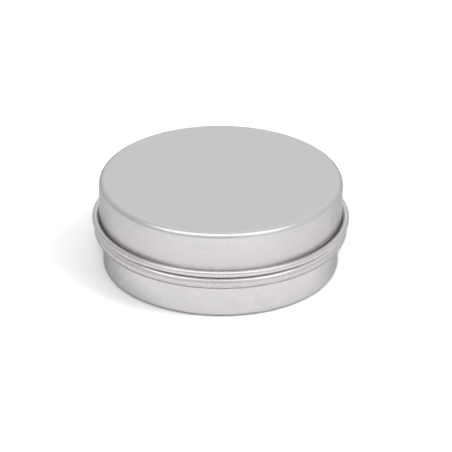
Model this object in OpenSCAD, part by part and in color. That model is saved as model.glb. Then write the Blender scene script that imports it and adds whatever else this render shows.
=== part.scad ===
// Round slip-lid candle tin, drawn and rolled from thin aluminium sheet.
// Two shells: a base cup with a swaged stop bead and a rolled-in rim, and a cap lid with a
// rolled-out edge. The axis is Z, and the tin stands on z = 0 with its lid on.
// Each shell is one revolved strip of sheet, built up from level, upright and bent stretches.

/* [Closed tin] */
// Height of the closed tin
overall_h = 25; // [22:0.5:40]
// Diameter over the lid's rolled edge
overall_d = 68; // [40:0.5:120]
// Thickness of the sheet
sheet = 0.3; // [0.2:0.05:0.35]

/* [Lid] */
// Outside radius of the rolled edge
curl_r = 0.95; // [0.8:0.05:1.4]
// Height of the middle of the rolled edge above the table
curl_z = 13.8; // [9.5:0.05:16]
// Width of the level stretch under the rolled edge
curl_flat = 0.2; // [0.05:0.05:0.5]
// Angle through which the sheet turns in the rolled edge
curl_turn = 310; // [270:5:310]
// Outside radius of the corner between the lid's top and its wall
lid_corner_r = 1.6; // [1.2:0.1:2.4]

/* [Base] */
// Clearance on the radius between the lid's wall and the base's neck
slip_gap = 0.4; // [0.1:0.05:0.5]
// Clearance between the base's rim and the underside of the lid's top
rim_gap = 0.2; // [0.1:0.05:0.5]
// Angle through which the sheet turns in the rolled-in rim
rim_turn = 250; // [180:5:270]
// How far the lower wall is set in from the neck
wall_step = 0.5; // [0:0.05:0.8]
// How far the stop bead stays inside the lid's rolled edge
stop_inset = 0.6; // [0.2:0.05:0.8]
// Open gap between the rolled edge and the stop bead
stop_gap = 0.25; // [0.15:0.05:1.2]
// Outside radius of the corner between the base's floor and its wall
base_corner_r = 1.5; // [0.8:0.1:2.4]

/* [Hidden] */
$fn = 180;

half = sheet / 2;
// Radius of the sheet's middle in the tight bend between the neck and the stop bead
bend_r = 0.2;

// Lid: radii and heights of the sheet's middle
curl_mid = curl_r - half;
curl_at = overall_d / 2 - curl_r;
lid_wall = curl_at - curl_flat - curl_mid;
lid_top = overall_h - half;
lid_corner_mid = lid_corner_r - half;

// Base: radii and heights of the sheet's middle
neck = lid_wall - sheet - slip_gap;
wall = neck - wall_step;
// The rim's outside radius lets it nest in the lid's corner
rim_r = lid_corner_r - sheet - slip_gap;
rim_mid = rim_r - half;
rim_z = overall_h - sheet - rim_gap - rim_r;
// The stop bead is a half-round nose. A tight bend joins its top to the neck, and a wider one
// sweeps its underside back to the wall
stop_at = neck + bend_r;
stop_r = overall_d / 2 - stop_inset - stop_at;
stop_mid = stop_r - half;
stop_z = curl_z - curl_r - stop_gap - stop_r;
sweep_r = stop_at - wall;
base_corner_mid = base_corner_r - half;

// Wedge of a circle between two angles, anticlockwise
module sector(reach, from, to) {
    steps = ceil((to - from) / 45);
    turn = (to - from) / steps;
    polygon([[0, 0], for (i = [0:steps]) reach * [cos(from + i * turn), sin(from + i * turn)]]);
}

// Level stretch of sheet whose middle is at height z
module level(from_r, to_r, z) {
    translate([from_r, z - half]) square([to_r - from_r, sheet]);
}

// Upright stretch of sheet whose middle is at radius r
module upright(r, from_z, to_z) {
    translate([r - half, from_z]) square([sheet, to_z - from_z]);
}

// Bent stretch of sheet round the point (r, z), anticlockwise between two angles
module bend(r, z, mid, from, to) {
    translate([r, z]) intersection() {
        difference() {
            circle(mid + half);
            circle(mid - half);
        }
        sector(2 * (mid + half), from, to);
    }
}

// Half section of the base, from the floor out and up to the rim
module base_section() {
    level(0, wall - base_corner_mid, half);
    bend(wall - base_corner_mid, base_corner_r, base_corner_mid, 270, 360);
    upright(wall, base_corner_r, stop_z - stop_mid - sweep_r);
    bend(stop_at, stop_z - stop_mid - sweep_r, sweep_r, 90, 180);
    bend(stop_at, stop_z, stop_mid, -90, 90);
    bend(stop_at, stop_z + stop_mid + bend_r, bend_r, 180, 270);
    upright(neck, stop_z + stop_mid + bend_r, rim_z);
    bend(neck - rim_mid, rim_z, rim_mid, 0, rim_turn);
}

// Half section of the lid, from the top out and down to the rolled edge
module lid_section() {
    level(0, lid_wall - lid_corner_mid, lid_top);
    bend(lid_wall - lid_corner_mid, overall_h - lid_corner_r, lid_corner_mid, 0, 90);
    upright(lid_wall, curl_z, overall_h - lid_corner_r);
    bend(lid_wall + curl_mid, curl_z, curl_mid, 180, 270);
    level(lid_wall + curl_mid, curl_at, curl_z - curl_mid);
    bend(curl_at, curl_z, curl_mid, 270, 180 + curl_turn);
}

module base() {
    color("silver") rotate_extrude() base_section();
}

module lid() {
    color("gainsboro") rotate_extrude() lid_section();
}

base();
lid();
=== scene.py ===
"""Looks, light and camera for the round slip-lid candle tin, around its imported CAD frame.

Both parts are drawn from thin aluminium sheet, so each is one closed shell: the middle line of
the sheet, given its thickness and turned about the Z axis. The middle lines follow the CAD part.
"""
import math

import bpy
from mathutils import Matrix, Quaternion, Vector, noise


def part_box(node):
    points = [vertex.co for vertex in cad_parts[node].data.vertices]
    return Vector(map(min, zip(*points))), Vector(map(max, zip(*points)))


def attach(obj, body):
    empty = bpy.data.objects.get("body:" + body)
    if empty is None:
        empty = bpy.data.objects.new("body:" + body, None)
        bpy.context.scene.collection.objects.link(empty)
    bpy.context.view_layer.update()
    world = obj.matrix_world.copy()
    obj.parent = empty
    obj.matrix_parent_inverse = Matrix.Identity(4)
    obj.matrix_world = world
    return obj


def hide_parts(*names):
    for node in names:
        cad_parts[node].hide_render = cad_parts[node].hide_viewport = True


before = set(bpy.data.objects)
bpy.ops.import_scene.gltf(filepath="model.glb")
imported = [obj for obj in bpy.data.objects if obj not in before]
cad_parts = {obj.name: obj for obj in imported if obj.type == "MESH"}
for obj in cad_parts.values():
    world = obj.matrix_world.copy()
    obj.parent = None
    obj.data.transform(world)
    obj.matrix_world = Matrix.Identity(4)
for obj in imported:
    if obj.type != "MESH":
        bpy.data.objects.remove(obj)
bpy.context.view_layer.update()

MM = 0.001
SEGMENTS = 288                  # columns round each shell
STRAIGHT_STEP = 2.0 * MM        # spacing of points along a straight stretch of sheet
BEND_STEP = 9.0                 # spacing of points along a bend, in degrees
NEAR_END = 0.06 * MM            # from a straight stretch's end to the close neighbour
SAME_POINT = 1e-7               # points nearer to each other than this are one

# The sheet's shape, in metres, as in the CAD part.
LID_LOW, LID_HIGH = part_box("lid")
OVERALL_R = (LID_HIGH.x - LID_LOW.x) / 2
OVERALL_H = LID_HIGH.z
SHEET = 0.3 * MM
HALF = SHEET / 2
CURL_R = 0.95 * MM
CURL_Z = LID_LOW.z + CURL_R
CURL_FLAT = 0.2 * MM
CURL_TURN = 318                 # degrees; the raw edge stops 0.1 mm from the wall, in CAD 0.24 mm
LID_CORNER_R = 1.6 * MM
SLIP_GAP = 0.4 * MM
RIM_GAP = 0.2 * MM
RIM_TURN = 238                  # degrees; the CAD part's 250 less the rounded end
WALL_STEP = 0.5 * MM
STOP_INSET = 0.6 * MM
STOP_GAP = 0.25 * MM
BASE_CORNER_R = 1.5 * MM
BEND_R = 0.2 * MM

CURL_MID = CURL_R - HALF
CURL_AT = OVERALL_R - CURL_R
LID_WALL = CURL_AT - CURL_FLAT - CURL_MID
LID_TOP = OVERALL_H - HALF
LID_CORNER_MID = LID_CORNER_R - HALF
NECK = LID_WALL - SHEET - SLIP_GAP
WALL = NECK - WALL_STEP
RIM_R = LID_CORNER_R - SHEET - SLIP_GAP
RIM_MID = RIM_R - HALF
RIM_Z = OVERALL_H - SHEET - RIM_GAP - RIM_R
STOP_AT = NECK + BEND_R
STOP_R = OVERALL_R - STOP_INSET - STOP_AT
STOP_MID = STOP_R - HALF
STOP_Z = CURL_Z - CURL_R - STOP_GAP - STOP_R
SWEEP_R = STOP_AT - WALL
BASE_CORNER_MID = BASE_CORNER_R - HALF

# Angles round the stop bead, in degrees, from underneath to on top. Its crest is polished and has a
# painted highlight.
BEAD_BELOW = -90
CREST_START = 18
CREST_END = 54
BEAD_ABOVE = 90

# Steps along the stop bead, and along the tight bend above it, in degrees.
BEAD_STEP = 6.0
NECK_BEND_STEP = 15.0

# The rolled edge's polished outside, in degrees, from its lowest point to near its top.
CURL_BOTTOM = 270
CURL_CREST_END = 435

# Height above the rolled edge from which the painted shade on the lid's wall gives way to a painted
# reflection, brighter the lower it gets.
FOOT_RISE = 1.2 * MM


# ---------------------------------------------------------------- the sheet's middle line

# Each point of a middle line is r, z, the direction of the sheet's outer side there, wear and
# painted shade and sheen.
# Wear goes from 0 to 1. Painted shade and sheen goes from 1, painted shade, through 0, plain, to
# -1, a painted sheen that looks rubbed bright. A stretch
# or a bend takes a pair for it: how much it has at its start and at its end.

def straight(start, end, side, painted_shade_and_sheen=(0.0, 0.0)):
    """Points from start to end, with side as the outer side's direction. The ends get close
    neighbours, so that the flat stays flat up to the bend beside it."""
    length = math.dist(start, end)
    count = max(2, round(length / STRAIGHT_STEP))
    near = min(NEAR_END / length, 0.2)
    marks = [0.0, near] + [i / count for i in range(1, count)] + [1.0 - near, 1.0]
    points = []
    for t in marks:
        r = start[0] + (end[0] - start[0]) * t
        z = start[1] + (end[1] - start[1]) * t
        points.append((r, z, side[0], side[1], 0.0, painted_shade_and_sheen[0] + (painted_shade_and_sheen[1] - painted_shade_and_sheen[0]) * t))
    return points


def bend(centre, mid, first, last, outward, wear=0.0, painted_shade_and_sheen=(0.0, 0.0), step=BEND_STEP):
    """Points on an arc from one angle to another, in degrees. outward is 1 where the sheet's
    outer side is the arc's outer side, and -1 where it faces the centre."""
    count = max(4, math.ceil(abs(last - first) / step))
    points = []
    for i in range(count + 1):
        t = i / count
        a = math.radians(first + (last - first) * t)
        r = centre[0] + mid * math.cos(a)
        z = centre[1] + mid * math.sin(a)
        side = (outward * math.cos(a), outward * math.sin(a))
        points.append((r, z, side[0], side[1], wear, painted_shade_and_sheen[0] + (painted_shade_and_sheen[1] - painted_shade_and_sheen[0]) * t))
    return points


def joined(*parts):
    """One line from several, without the doubled points where they meet."""
    line = []
    for part in parts:
        for p in part:
            if line and math.dist(line[-1][:2], p[:2]) < SAME_POINT:
                continue
            line.append(p)
    return line


def lid_line():
    """From the middle of the top, out and down the wall, and round the rolled edge. The wall has
    painted shade that grows a little darker downwards, and a painted reflection that makes it
    brightest inside the groove above the rolled edge."""
    corner_at = LID_WALL - LID_CORNER_MID
    corner_z = OVERALL_H - LID_CORNER_R
    foot = CURL_Z + CURL_R + FOOT_RISE
    curl = (CURL_AT, CURL_Z)
    return joined(
        straight((0, LID_TOP), (corner_at, LID_TOP), (0, 1)),
        bend((corner_at, corner_z), LID_CORNER_MID, 90, 0, 1, wear=0.8),
        # Painted shade: the wall's colour grows darker downwards towards the rolled edge.
        straight((LID_WALL, corner_z), (LID_WALL, foot), (1, 0), painted_shade_and_sheen=(0.04, 0.26)),
        # Painted reflection: the wall's foot is painted brighter the lower it gets, into the groove
        # above the rolled edge.
        straight((LID_WALL, foot), (LID_WALL, CURL_Z), (1, 0), painted_shade_and_sheen=(0.26, -1.0)),
        bend((LID_WALL + CURL_MID, CURL_Z), CURL_MID, 180, CURL_BOTTOM, -1, wear=1.0),
        bend(curl, CURL_MID, CURL_BOTTOM, CURL_CREST_END, -1, wear=1.0),
        # Painted reflection: the top of the rolled edge, inside the groove, is painted bright.
        bend(curl, CURL_MID, CURL_CREST_END, 180 + CURL_TURN, -1, painted_shade_and_sheen=(-0.2, -0.9)),
    )


def base_line():
    """From the middle of the floor, out and up the wall, round the stop bead, up the neck and
    round the rim. The creases under and above the stop bead have painted shade, and the bead's
    crest a painted highlight."""
    corner_at = WALL - BASE_CORNER_MID
    sweep_z = STOP_Z - STOP_MID - SWEEP_R
    neck_z = STOP_Z + STOP_MID + BEND_R
    stop = (STOP_AT, STOP_Z)
    nose = {"outward": 1, "step": BEAD_STEP}
    return joined(
        straight((0, HALF), (corner_at, HALF), (0, -1)),
        bend((corner_at, BASE_CORNER_R), BASE_CORNER_MID, 270, 360, 1, wear=0.4),
        straight((WALL, BASE_CORNER_R), (WALL, sweep_z), (1, 0)),
        # Painted shade in the crease under the stop bead.
        bend((STOP_AT, sweep_z), SWEEP_R, 180, 90, -1, painted_shade_and_sheen=(0.2, 0.8)),
        # Painted shade on the bead's lower side, fading towards the crest.
        bend(stop, STOP_MID, BEAD_BELOW, CREST_START, wear=0.6, painted_shade_and_sheen=(0.6, 0.28), **nose),
        # Painted highlight on the bead's crest, just under the gap below the rolled edge.
        bend(stop, STOP_MID, CREST_START, CREST_END, wear=1.0, painted_shade_and_sheen=(0.28, -0.8), **nose),
        # Painted shade on the bead's top, in the gap under the rolled edge.
        bend(stop, STOP_MID, CREST_END, BEAD_ABOVE, wear=0.6, painted_shade_and_sheen=(-0.8, 1.0), **nose),
        # Painted shade in the bend at the neck's foot, inside that gap.
        bend((STOP_AT, neck_z), BEND_R, 270, 180, -1, painted_shade_and_sheen=(1, 1), step=NECK_BEND_STEP),
        straight((NECK, neck_z), (NECK, RIM_Z), (1, 0)),
        bend((NECK - RIM_MID, RIM_Z), RIM_MID, 0, RIM_TURN, 1, wear=1.0),
    )


# ---------------------------------------------------------------- shells

INNER_SHARE = 0.5               # wear and painted shade and sheen on the sheet's inner side, as a part of the outer's
ON_AXIS = 1e-9                  # a smaller radius is on the axis

# The small errors of pressed sheet. A dent is its middle, its radius and its depth.
TOP_SAG = 0.07 * MM
TOP_DENTS = (
    ((11 * MM, 9 * MM), 4.5 * MM, 0.022 * MM),
    ((-16 * MM, -6 * MM), 3.5 * MM, 0.018 * MM),
)
FLOOR_RISE = 0.12 * MM
FLOOR_DENT = ((-7 * MM, 12 * MM), 5 * MM, 0.02 * MM)
LID_OVAL = 0.035 * MM
BASE_OVAL = 0.02 * MM
WALL_WAVES = 0.012 * MM
CURL_RIPPLE = 0.01 * MM         # inwards
CURL_LIFT = 0.012 * MM          # upwards


def rounded_end(p, before):
    """The half-round edge of the sheet at its last point, in steps of 30 degrees."""
    along = Vector((p[0] - before[0], p[1] - before[1])).normalized()
    side = Vector((p[2], p[3]))
    points = []
    for a in range(30, 180, 30):
        c = math.cos(math.radians(a)) * HALF
        s = math.sin(math.radians(a)) * HALF
        r = p[0] + side.x * c + along.x * s
        z = p[1] + side.y * c + along.y * s
        points.append((r, z, p[0], p[1], 1.0, 0.0))
    return points


def skin(line):
    """The shell's outline: the outer side from the axis to the edge, and the inner side back,
    with a smaller share of the wear and the painted shade and sheen. Each point is r, z, the
    middle line's r and z there, wear and painted shade and sheen."""
    outline = []
    for r, z, sr, sz, wear, painted_shade_and_sheen in line:
        outline.append((r + sr * HALF, z + sz * HALF, r, z, wear, painted_shade_and_sheen))
    outline += rounded_end(line[-1], line[-2])
    for r, z, sr, sz, wear, painted_shade_and_sheen in reversed(line):
        inner_r = max(0.0, r - sr * HALF)
        inner_z = z - sz * HALF
        outline.append((inner_r, inner_z, r, z, wear * INNER_SHARE, painted_shade_and_sheen * INNER_SHARE))
    return outline


def turned(name, outline, shift):
    """The outline turned about Z. shift(angle, mid_r, mid_z) gives the small radial and
    upward moves that a pressed sheet has and a drawing hasn't."""
    verts, faces, wear, painted_shade_and_sheen = [], [], [], []
    rows = []
    for r, z, mid_r, mid_z, w, d in outline:
        if r < ON_AXIS:
            dr, dz = shift(0.0, 0.0, mid_z)
            rows.append([len(verts)])
            verts.append((0.0, 0.0, z + dz))
            wear.append(w)
            painted_shade_and_sheen.append(d)
            continue
        row = []
        for k in range(SEGMENTS):
            a = 2 * math.pi * k / SEGMENTS
            dr, dz = shift(a, mid_r, mid_z)
            row.append(len(verts))
            verts.append(((r + dr) * math.cos(a), (r + dr) * math.sin(a), z + dz))
            wear.append(w)
            painted_shade_and_sheen.append(d)
        rows.append(row)
    for upper, lower in zip(rows, rows[1:]):
        for k in range(SEGMENTS):
            n = (k + 1) % SEGMENTS
            if len(upper) == 1:
                faces.append((upper[0], lower[k], lower[n]))
            elif len(lower) == 1:
                faces.append((upper[k], lower[0], upper[n]))
            else:
                faces.append((upper[k], lower[k], lower[n], upper[n]))
    mesh = bpy.data.meshes.new(name)
    mesh.from_pydata(verts, [], faces)
    mesh.shade_smooth()
    # painted_shade_and_sheen carries painted shade (above zero) and painted sheen (below zero) into
    # the material
    for label, values in (("wear", wear), ("painted_shade_and_sheen", painted_shade_and_sheen)):
        layer = mesh.attributes.new(label, "FLOAT", "POINT")
        layer.data.foreach_set("value", values)
    mesh.validate()
    mesh.update()
    piece = bpy.data.objects.new(name, mesh)
    bpy.context.scene.collection.objects.link(piece)
    return piece


def bump(x, y, centre, radius, depth):
    """How deep a soft dent round centre is at x, y."""
    d2 = (x - centre[0]) ** 2 + (y - centre[1]) ** 2
    return depth * math.exp(-d2 / (2 * radius * radius))


def ring_noise(angle, height, waves, seed):
    """Smooth noise round a ring, about -1 to 1, that meets itself."""
    x = math.cos(angle) * waves
    y = math.sin(angle) * waves
    return noise.noise(Vector((x, y, height + seed)))


def lid_shift(angle, r, z):
    """The top sags a little and has two soft dents. The wall is slightly oval and wavy, more so
    lower down, and the rolled edge ripples. Every sideways move is inwards, so the lid stays
    inside its CAD shape."""
    x, y = r * math.cos(angle), r * math.sin(angle)
    inner = min(1.0, r / (LID_WALL - LID_CORNER_R))
    top = 1.0 if z > OVERALL_H - LID_CORNER_R else 0.0
    dz = -TOP_SAG * (1 - inner * inner) * top
    for dent in TOP_DENTS:
        dz -= top * bump(x, y, *dent)
    low = min(1.0, max(0.0, (OVERALL_H - z) / (10 * MM)))
    dr = -LID_OVAL * (1 + math.cos(2 * angle + 0.7)) * low
    dr += WALL_WAVES * (ring_noise(angle, z / (9 * MM), waves=2.6, seed=3.1) - 1) * low
    if z < CURL_Z + CURL_R:
        dr += CURL_RIPPLE * (ring_noise(angle, 0, waves=7.0, seed=9.4) - 1)
        dz += CURL_LIFT * abs(ring_noise(angle, 0, waves=5.0, seed=5.7))
    return dr, dz


def base_shift(angle, r, z):
    """The floor is raised a little in its middle and has a soft dent from below. The wall is
    slightly oval and wavy, more so higher up, and here too every sideways move is inwards."""
    x, y = r * math.cos(angle), r * math.sin(angle)
    inner = min(1.0, r / (WALL - BASE_CORNER_R))
    floor = 1.0 if z < BASE_CORNER_R else 0.0
    dz = FLOOR_RISE * (1 - inner * inner) * floor
    dz += floor * bump(x, y, *FLOOR_DENT)
    up = min(1.0, z / (8 * MM))
    dr = -BASE_OVAL * (1 + math.cos(2 * angle + 2.1)) * up
    dr += WALL_WAVES * (ring_noise(angle, z / (7 * MM), waves=2.4, seed=7.7) - 1) * up
    return dr, dz


# ---------------------------------------------------------------- materials

class Nodes:
    """Short calls for building the node tree of a material or of the world."""

    def __init__(self, tree):
        self.tree = tree

    def add(self, kind, **settings):
        node = self.tree.nodes.new(kind)
        for key, value in settings.items():
            setattr(node, key, value)
        return node

    def link(self, source, target):
        self.tree.links.new(source, target)

    def coords(self, kind):
        return self.add("ShaderNodeTexCoord").outputs[kind]

    def noise(self, at, scale, detail, roughness):
        node = self.add("ShaderNodeTexNoise")
        node.inputs["Scale"].default_value = scale
        node.inputs["Detail"].default_value = detail
        node.inputs["Roughness"].default_value = roughness
        self.link(at, node.inputs["Vector"])
        return node.outputs["Fac"]

    def value(self, operation, a, b, clamp=False):
        node = self.add("ShaderNodeMath", operation=operation, use_clamp=clamp)
        for socket, v in ((node.inputs[0], a), (node.inputs[1], b)):
            if isinstance(v, (int, float)):
                socket.default_value = v
            else:
                self.link(v, socket)
        return node.outputs[0]

    def vector(self, operation, a, b=None):
        node = self.add("ShaderNodeVectorMath", operation=operation)
        self.link(a, node.inputs[0])
        if isinstance(b, tuple):
            node.inputs[1].default_value = b
        elif b is not None:
            self.link(b, node.inputs[1])
        return node.outputs[0]

    def length(self, source):
        node = self.add("ShaderNodeVectorMath", operation="LENGTH")
        self.link(source, node.inputs[0])
        return node.outputs["Value"]

    def attribute(self, name):
        return self.add("ShaderNodeAttribute", attribute_name=name).outputs["Fac"]

    def spread(self, source, low, high, to_low, to_high):
        """source between low and high, mapped to to_low and to_high."""
        node = self.add("ShaderNodeMapRange")
        self.link(source, node.inputs["Value"])
        node.inputs["From Min"].default_value = low
        node.inputs["From Max"].default_value = high
        node.inputs["To Min"].default_value = to_low
        node.inputs["To Max"].default_value = to_high
        return node.outputs["Result"]

    def mix(self, factor, a, b):
        """Colour a mixed with colour b. Inputs 6 and 7 and output 2 are the colour sockets."""
        node = self.add("ShaderNodeMix", data_type="RGBA")
        self.link(factor, node.inputs["Factor"])
        for socket, v in ((node.inputs[6], a), (node.inputs[7], b)):
            if isinstance(v, tuple):
                socket.default_value = (*v, 1.0)
            else:
                self.link(v, socket)
        return node.outputs[2]


def new_material(name):
    """A material, the calls that build its nodes, and its shader."""
    material = bpy.data.materials.new(name)
    material.use_nodes = True
    tree = material.node_tree
    return material, Nodes(tree), tree.nodes["Principled BSDF"]


# The metal's colour on polished crests, as painted shade in creases, and as a painted sheen where
# it looks rubbed bright.
CREST_METAL = (0.62, 0.605, 0.615)
PAINTED_SHADE_METAL = (0.20, 0.175, 0.16)
PAINTED_SHEEN_METAL = (0.78, 0.76, 0.75)

# How fine the metal's patterns are, in features to the metre.
GRAIN = 5200
FLECK = 1500
NICKS = 330
CLOUD = 95

# How fine the draw marks are, in features to the radian. They run up and down the walls.
DRAW_MARKS = 150

# Roughness of the satin where the clouds are smoothest and roughest.
SATIN = (0.235, 0.3)


def satin_aluminium(name, bright, dull, tint, seed):
    """Thin rolled aluminium, satin all over: a fine grain, cloudy tone, faint draw marks down
    the walls, polished crests, painted shade in the creases, and a painted sheen of bright metal
    where the painted shade and sheen is below zero.
    A tint below 1 dims what the metal reflects at a flat angle."""
    material, n, shader = new_material(name)
    coords = n.coords("Object")
    moved = n.vector("ADD", coords, (seed, seed * 0.7, seed * 0.4))
    grain = n.noise(moved, GRAIN, detail=2.0, roughness=0.6)
    cloud = n.noise(moved, CLOUD, detail=4.0, roughness=0.55)
    fleck = n.noise(moved, FLECK, detail=3.0, roughness=0.65)
    nicks = n.noise(moved, NICKS, detail=2.0, roughness=0.6)
    round_it = n.vector("NORMALIZE", n.vector("MULTIPLY", coords, (1.0, 1.0, 0.0)))
    tall = n.vector("MULTIPLY", coords, (0.0, 0.0, 0.9))
    marks = n.noise(n.vector("ADD", round_it, tall), DRAW_MARKS, detail=3.0, roughness=0.6)
    wear = n.attribute("wear")
    painted_shade_and_sheen = n.attribute("painted_shade_and_sheen")

    worn = n.value("MULTIPLY", wear, n.spread(fleck, 0.35, 0.6, 0.45, 1.0))
    tone = n.value("ADD", n.value("MULTIPLY", cloud, 0.7), n.value("MULTIPLY", fleck, 0.3))
    metal = n.mix(n.spread(tone, 0.32, 0.68, 0.0, 1.0), dull, bright)
    metal = n.mix(n.value("MULTIPLY", worn, 0.5), metal, CREST_METAL)
    # Painted shade where the attribute is above zero, and a painted sheen of bright metal where it
    # is below zero.
    metal = n.mix(n.value("MULTIPLY", painted_shade_and_sheen, 0.45), metal, PAINTED_SHADE_METAL)
    metal = n.mix(n.value("MULTIPLY", painted_shade_and_sheen, -1.0), metal, PAINTED_SHEEN_METAL)
    n.link(metal, shader.inputs["Base Color"])
    shader.inputs["Metallic"].default_value = 1.0
    shader.inputs["Specular Tint"].default_value = (tint, tint, tint, 1)

    rough = n.spread(cloud, 0.3, 0.7, *SATIN)
    rough = n.value("ADD", rough, n.spread(grain, 0.3, 0.7, -0.02, 0.02))
    rough = n.value("ADD", rough, n.spread(marks, 0.3, 0.7, -0.004, 0.004))
    rough = n.value("SUBTRACT", rough, n.value("MULTIPLY", worn, 0.12))
    scuffs = n.spread(nicks, 0.42, 0.65, 0.0, 0.05)
    rough = n.value("ADD", rough, n.value("MULTIPLY", wear, scuffs))
    rough = n.value("ADD", rough, n.value("MULTIPLY", painted_shade_and_sheen, 0.12), clamp=True)
    n.link(rough, shader.inputs["Roughness"])

    height = n.value("ADD", n.value("MULTIPLY", grain, 0.7), n.value("MULTIPLY", fleck, 0.6))
    height = n.value("ADD", height, n.value("MULTIPLY", marks, 0.07))
    relief = n.add("ShaderNodeBump")
    relief.inputs["Strength"].default_value = 0.25
    relief.inputs["Distance"].default_value = 0.012 * MM
    n.link(height, relief.inputs["Height"])
    n.link(relief.outputs["Normal"], shader.inputs["Normal"])
    return material


def paper_floor():
    """White paper, slightly uneven, with painted shade: it is greyer out to the left and right of
    the tin, from just past its sides on, so that the tin's sides reflect something darker than its
    front does."""
    material, n, shader = new_material("floor_paper")
    coords = n.coords("Object")
    uneven = n.spread(n.noise(coords, 6, detail=3.0, roughness=0.5), 0.3, 0.7, 0.0, 1.0)
    near = n.mix(uneven, (0.82, 0.817, 0.823), (0.835, 0.832, 0.838))
    sideways = n.length(n.vector("MULTIPLY", coords, (1.0, 0.1, 1.0)))
    # Painted shade: the paper turns greyer away from the tin at both sides.
    out = n.spread(sideways, 38 * MM, 90 * MM, 0.0, 1.0)
    colour = n.mix(out, near, (0.65, 0.648, 0.653))
    n.link(colour, shader.inputs["Base Color"])
    shader.inputs["Roughness"].default_value = 0.85
    shader.inputs["Specular IOR Level"].default_value = 0.2
    return material


# ---------------------------------------------------------------- the tin

def make_piece(name, line, shift, body, node, material):
    """One shell from its middle line, riding on its body and standing for its CAD node."""
    piece = turned(name, skin(line), shift)
    piece.data.materials.append(material)
    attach(piece, body)
    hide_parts(node)


lid_metal = satin_aluminium(
    "lid_aluminium", bright=(0.571, 0.556, 0.565), dull=(0.541, 0.527, 0.535), tint=0.55, seed=0.31)
base_metal = satin_aluminium(
    "base_aluminium", bright=(0.578, 0.563, 0.574), dull=(0.548, 0.534, 0.544), tint=0.5, seed=0.87)
make_piece("lid_shell", lid_line(), lid_shift, "lid", "lid", lid_metal)
make_piece("base_shell", base_line(), base_shift, "base", "base", base_metal)


# ---------------------------------------------------------------- floor, light, camera

def make_floor():
    """A square of paper, a hair under the tin so that the two never share a plane."""
    size = 6.0
    mesh = bpy.data.meshes.new("floor")
    corners = [(-size, -size, 0), (size, -size, 0), (size, size, 0), (-size, size, 0)]
    mesh.from_pydata(corners, [], [(0, 1, 2, 3)])
    mesh.materials.append(paper_floor())
    floor = bpy.data.objects.new("floor", mesh)
    floor.location.z = -0.03 * MM
    bpy.context.scene.collection.objects.link(floor)


def place_lamp(name, data, at, aim, reflected):
    """A lamp at one point that shines at another. The camera never sees it, and metal reflects
    it only if reflected is true."""
    lamp = bpy.data.objects.new(name, data)
    lamp.location = at
    lamp.rotation_mode = "QUATERNION"
    lamp.rotation_quaternion = (Vector(aim) - Vector(at)).to_track_quat("-Z", "Y")
    lamp.visible_camera = False
    lamp.visible_glossy = reflected
    bpy.context.scene.collection.objects.link(lamp)


def soft_light(name, at, aim, width, height, power, reflected=True):
    """A rectangular soft box."""
    data = bpy.data.lights.new(name, "AREA")
    data.shape = "RECTANGLE"
    data.size = width
    data.size_y = height
    data.energy = power
    place_lamp(name, data, at, aim, reflected)


def pool_light():
    """A soft spot that whitens the table round the tin, brightest just in front of its middle."""
    data = bpy.data.lights.new("pool", "SPOT")
    data.energy = 90.0
    data.spot_size = math.radians(5.5)
    data.spot_blend = 1.0
    data.shadow_soft_size = 0.1
    place_lamp("pool", data, (0.0, -0.75, 0.5), (0, -24 * MM, 0), reflected=False)


def make_lights():
    """Three soft boxes in a row overhead, in front of the tin, a smaller one at the right that
    lights only the floor and casts the tin's shadow to the left, and the spot."""
    height = 0.9
    middle = (0.0, -0.43)
    wing_x, wing_y = 0.78, -0.53
    soft_light("middle", (*middle, height), (*middle, 0), 0.9, 0.70, power=2.02)
    for name, x in (("left_wing", -wing_x), ("right_wing", wing_x)):
        soft_light(name, (x, wing_y, height), (x, wing_y, 0), 0.66, 0.74, power=1.55)
    soft_light("key", (0.6, -0.35, 0.95), (0, 0, 0), 0.35, 0.35, power=4.8, reflected=False)
    pool_light()


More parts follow.
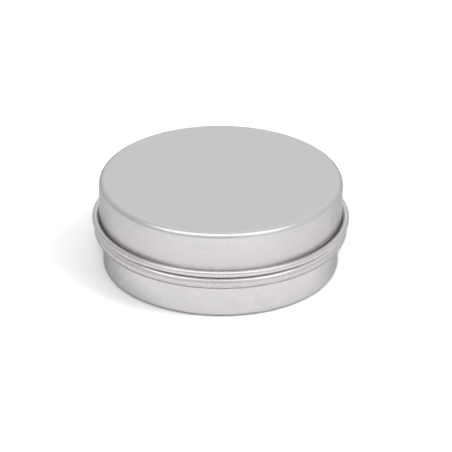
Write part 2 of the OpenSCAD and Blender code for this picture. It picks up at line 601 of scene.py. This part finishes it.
# The tent's level overhead, and how the other directions differ from it.
TENT_LEVEL = 0.97
TENT_FRONT_AND_BACK = 0.08      # added in front and behind
TENT_BACK = 0.175               # added behind, taken off in front
TENT_RIGHT = 0.12               # added at the right, taken off at the left
TENT_SIDES = 0.11               # taken off at both sides
TENT_BACK_CORNERS = 0.4         # taken off at the back corners, added at the front ones


def make_world():
    """A pale tent, brightest straight behind the tin, dimmer behind it at both sides, and a
    little brighter at the right than at the left."""
    world = bpy.data.worlds.new("tent")
    world.use_nodes = True
    n = Nodes(world.node_tree)
    split = n.add("ShaderNodeSeparateXYZ")
    n.link(n.coords("Generated"), split.inputs[0])
    x, y = split.outputs["X"], split.outputs["Y"]
    aside = n.value("ABSOLUTE", x, 0.0)
    level = TENT_LEVEL
    for factor, weight in (
        (n.value("MULTIPLY", y, y), TENT_FRONT_AND_BACK),
        (n.value("MULTIPLY", x, x), -TENT_SIDES),
        (x, TENT_RIGHT),
        (y, TENT_BACK),
        (n.value("MULTIPLY", aside, y), -TENT_BACK_CORNERS),
    ):
        level = n.value("ADD", n.value("MULTIPLY", factor, weight), level)
    background = world.node_tree.nodes["Background"]
    n.link(level, background.inputs["Strength"])
    background.inputs["Color"].default_value = (0.99, 0.985, 1.0, 1)
    bpy.context.scene.world = world


def make_camera():
    """The photograph's view: from in front and above, far away, and rolled very slightly."""
    middle = Vector((0, 0, OVERALL_H / 2))
    elevation = math.radians(27.224)
    roll = math.radians(0.316)
    distance = 3.0
    to_right, to_below = 1.404 * MM, 1.35 * MM
    back = Vector((0, -math.cos(elevation), math.sin(elevation)))
    right = Vector((1, 0, 0))
    up = right.cross(-back)
    data = bpy.data.cameras.new("camera")
    data.sensor_width = 36
    data.lens = 905.3
    data.clip_start = 0.05
    data.clip_end = 50
    camera = bpy.data.objects.new("camera", data)
    camera.location = middle + back * distance
    aim = middle + right * to_right - up * to_below
    look = (aim - camera.location).to_track_quat("-Z", "Y")
    camera.rotation_mode = "QUATERNION"
    camera.rotation_quaternion = look @ Quaternion((0, 0, 1), roll)
    bpy.context.scene.collection.objects.link(camera)
    bpy.context.scene.camera = camera


make_floor()
make_world()
make_lights()
make_camera()
bpy.context.scene.view_settings.view_transform = "Standard"
